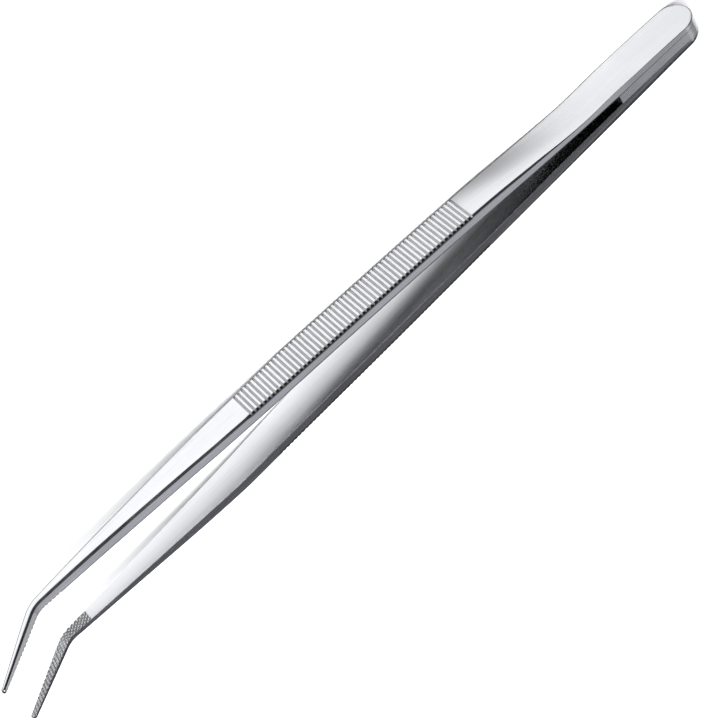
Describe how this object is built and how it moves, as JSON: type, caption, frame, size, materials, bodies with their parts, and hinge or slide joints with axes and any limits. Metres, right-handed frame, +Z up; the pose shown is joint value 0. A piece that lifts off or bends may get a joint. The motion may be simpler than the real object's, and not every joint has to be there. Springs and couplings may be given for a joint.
{
  "type": "aquascaping tweezers",
  "caption": "Long sprung steel tweezers with ribbed finger grips, a rounded butt and slim jaws bent to one side, their gripping faces cross-cut.",
  "frame": {"origin": "centre of the footprint, on the surface that the tweezers lie on", "axes": "+X from the rounded butt end to the tips, +Y to the left arm, +Z up, towards the side that the tips bend to"},
  "size_m": [0.2, 0.0157, 0.0174],
  "materials": {
    "arm_steel": "satin-polished stainless steel, brushed along the arms",
    "spacer_steel": "stainless steel, ground flush with the arms"
  },
  "bodies": {
    "butt": {"spacer": "spacer_steel", "right_arm_root": "arm_steel", "left_arm_root": "arm_steel"},
    "right_arm": {"right_arm": "arm_steel"},
    "left_arm": {"left_arm": "arm_steel"}
  },
  "joints": [
    {"name": "right_arm_flex", "type": "hinge", "parent": "butt", "child": "right_arm", "pos_m": [-0.062, -0.0021, 0.00465], "axis": [0, 0, 1], "range_deg": [0, 1.8], "stiffness_Nm_per_rad": 6},
    {"name": "left_arm_flex", "type": "hinge", "parent": "butt", "child": "left_arm", "pos_m": [-0.062, 0.0025, 0.00465], "axis": [0, 0, -1], "range_deg": [0, 1.8], "stiffness_Nm_per_rad": 6}
  ],
  "couplings": [
    {"joint": "left_arm_flex", "follows": "right_arm_flex", "ratio": 1}
  ]
}
